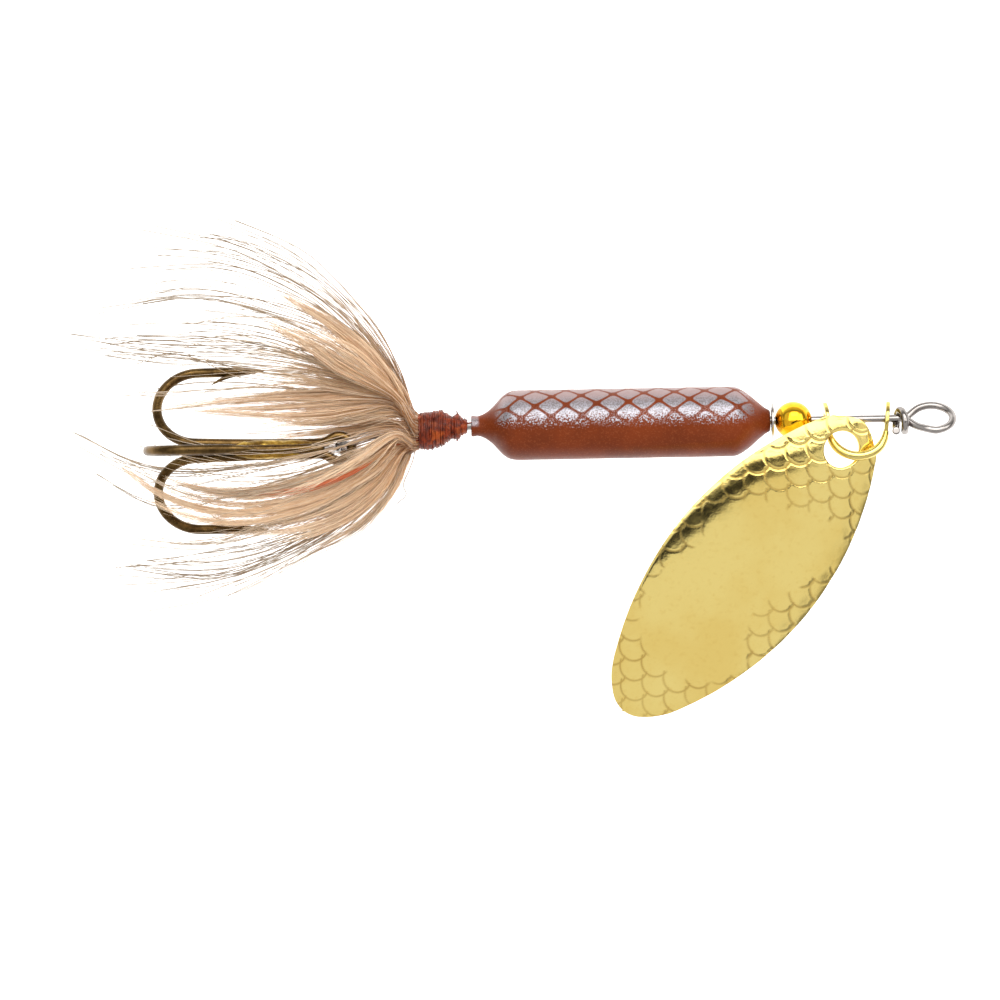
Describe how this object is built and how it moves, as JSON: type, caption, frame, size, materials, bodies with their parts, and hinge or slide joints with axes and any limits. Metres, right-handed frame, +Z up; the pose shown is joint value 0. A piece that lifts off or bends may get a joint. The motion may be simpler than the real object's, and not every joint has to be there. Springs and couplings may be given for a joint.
{
  "type": "inline spinner",
  "caption": "Inline spinner lure: painted barrel body on a formed wire, oval gold blade on a clevis, bead, thread binding, feather skirt and a swinging treble hook.",
  "frame": {"origin": "inner front of the line eye, where the line pulls", "axes": "+X along the shaft from the hook to the line eye, +Z up from the table that the lure lies on, the blade hangs to -Y"},
  "size_m": [0.0577, 0.0316, 0.0103],
  "materials": {
    "wire": "drawn stainless spring wire, smooth",
    "body_paint": "brown and silver net pattern under clear gloss",
    "washer_steel": "bright, thin",
    "bead_gold": "polished gold plate",
    "clevis_gold": "polished gold plate",
    "blade_gold": "polished gold plate with stamped scales",
    "thread": "wound thread under thin varnish",
    "hook_bronze": "bronzed steel wire",
    "braze": "dull brass fillet",
    "hackle": "soft tan feather barbs"
  },
  "bodies": {
    "root": {"shaft_wire": "wire", "body": "body_paint", "thread_wrap": "thread", "hackle_feather_1": "hackle", "hackle_feather_2": "hackle", "hackle_feather_3": "hackle", "hackle_feather_4": "hackle", "hackle_feather_5": "hackle", "hackle_feather_6": "hackle", "hackle_feather_7": "hackle", "hackle_feather_8": "hackle", "hackle_feather_9": "hackle"},
    "washer": {"washer": "washer_steel"},
    "bead": {"bead": "bead_gold"},
    "clevis": {"clevis": "clevis_gold"},
    "blade": {"blade": "blade_gold"},
    "treble": {"treble_double_hook": "hook_bronze", "treble_third_hook": "hook_bronze", "treble_braze": "braze"}
  },
  "joints": [
    {"name": "washer_spin", "type": "hinge", "parent": "root", "child": "washer", "pos_m": [-0.01244, 0, 0], "axis": [1, 0, 0], "continuous": true},
    {"name": "bead_spin", "type": "hinge", "parent": "root", "child": "bead", "pos_m": [-0.01095, 0, 0], "axis": [1, 0, 0], "continuous": true},
    {"name": "clevis_spin", "type": "hinge", "parent": "root", "child": "clevis", "pos_m": [-0.00648, 0, 0], "axis": [1, 0, 0], "continuous": true},
    {"name": "blade_swing", "type": "hinge", "parent": "clevis", "child": "blade", "pos_m": [-0.00648, -0.00075, 0.00032], "axis": [0, 0.3907, 0.9205], "range_deg": [0, 40]},
    {"name": "hook_swing", "type": "hinge", "parent": "root", "child": "treble", "pos_m": [-0.043, -0.00136, 0.00086], "axis": [0, 0, 1], "range_deg": [-60, 60], "deforming": ["hackle_feather_1", "hackle_feather_2", "hackle_feather_3", "hackle_feather_4", "hackle_feather_5", "hackle_feather_6", "hackle_feather_7", "hackle_feather_8", "hackle_feather_9"]}
  ]
}
